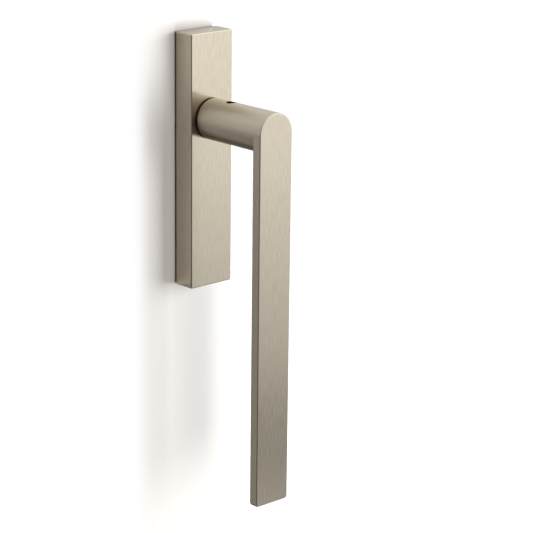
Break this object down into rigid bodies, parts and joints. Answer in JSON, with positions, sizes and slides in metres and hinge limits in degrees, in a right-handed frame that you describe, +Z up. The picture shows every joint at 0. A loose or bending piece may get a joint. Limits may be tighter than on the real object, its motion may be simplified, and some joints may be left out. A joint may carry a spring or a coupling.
{
  "type": "lift and slide door lever handle",
  "caption": "Long flat lever on a round neck, turning on a narrow rectangular backplate, with a square spindle and fixing bolts behind it.",
  "frame": {"origin": "where the square spindle's axis crosses the door's surface, the plane of the backplate's rear face", "axes": "+Z up, from the lever's free end towards its neck at rest; +Y into the door along the spindle; +X to the right, seen from the room"},
  "size_m": [0.033, 0.13, 0.291],
  "materials": {
    "satin_nickel": "fine vertical brushing under satin nickel plating",
    "zinc_casting": "as cast",
    "bright_steel": "bright zinc plated",
    "spring_steel": "rolled and hardened strip",
    "black_steel": "black oxide",
    "black_nylon": "moulded, matt",
    "gasket_rubber": "smooth"
  },
  "bodies": {
    "backplate": {"cover_plate": "satin_nickel", "base_plate": "zinc_casting", "sealing_gasket": "gasket_rubber", "guide_ring": "black_nylon", "bearing_bush": "black_nylon", "thrust_washer": "bright_steel", "detent_leaf_left": "spring_steel", "detent_leaf_right": "spring_steel", "detent_retainer": "bright_steel", "retainer_screw_upper": "bright_steel", "retainer_screw_lower": "bright_steel", "cover_clip_upper": "spring_steel", "cover_clip_lower": "spring_steel", "clip_rivet_upper": "bright_steel", "clip_rivet_lower": "bright_steel", "fixing_bolt_upper": "bright_steel", "fixing_bolt_lower": "bright_steel"},
    "lever": {"lever": "satin_nickel", "grub_screw": "black_steel", "spindle": "bright_steel", "spindle_pin": "spring_steel", "detent_cam": "zinc_casting"}
  },
  "joints": [
    {"name": "lever_turn", "type": "hinge", "parent": "backplate", "child": "lever", "pos_m": [0, 0, 0], "axis": [0, 1, 0], "range_deg": [0, 180], "deforming": ["detent_leaf_left", "detent_leaf_right"]}
  ]
}
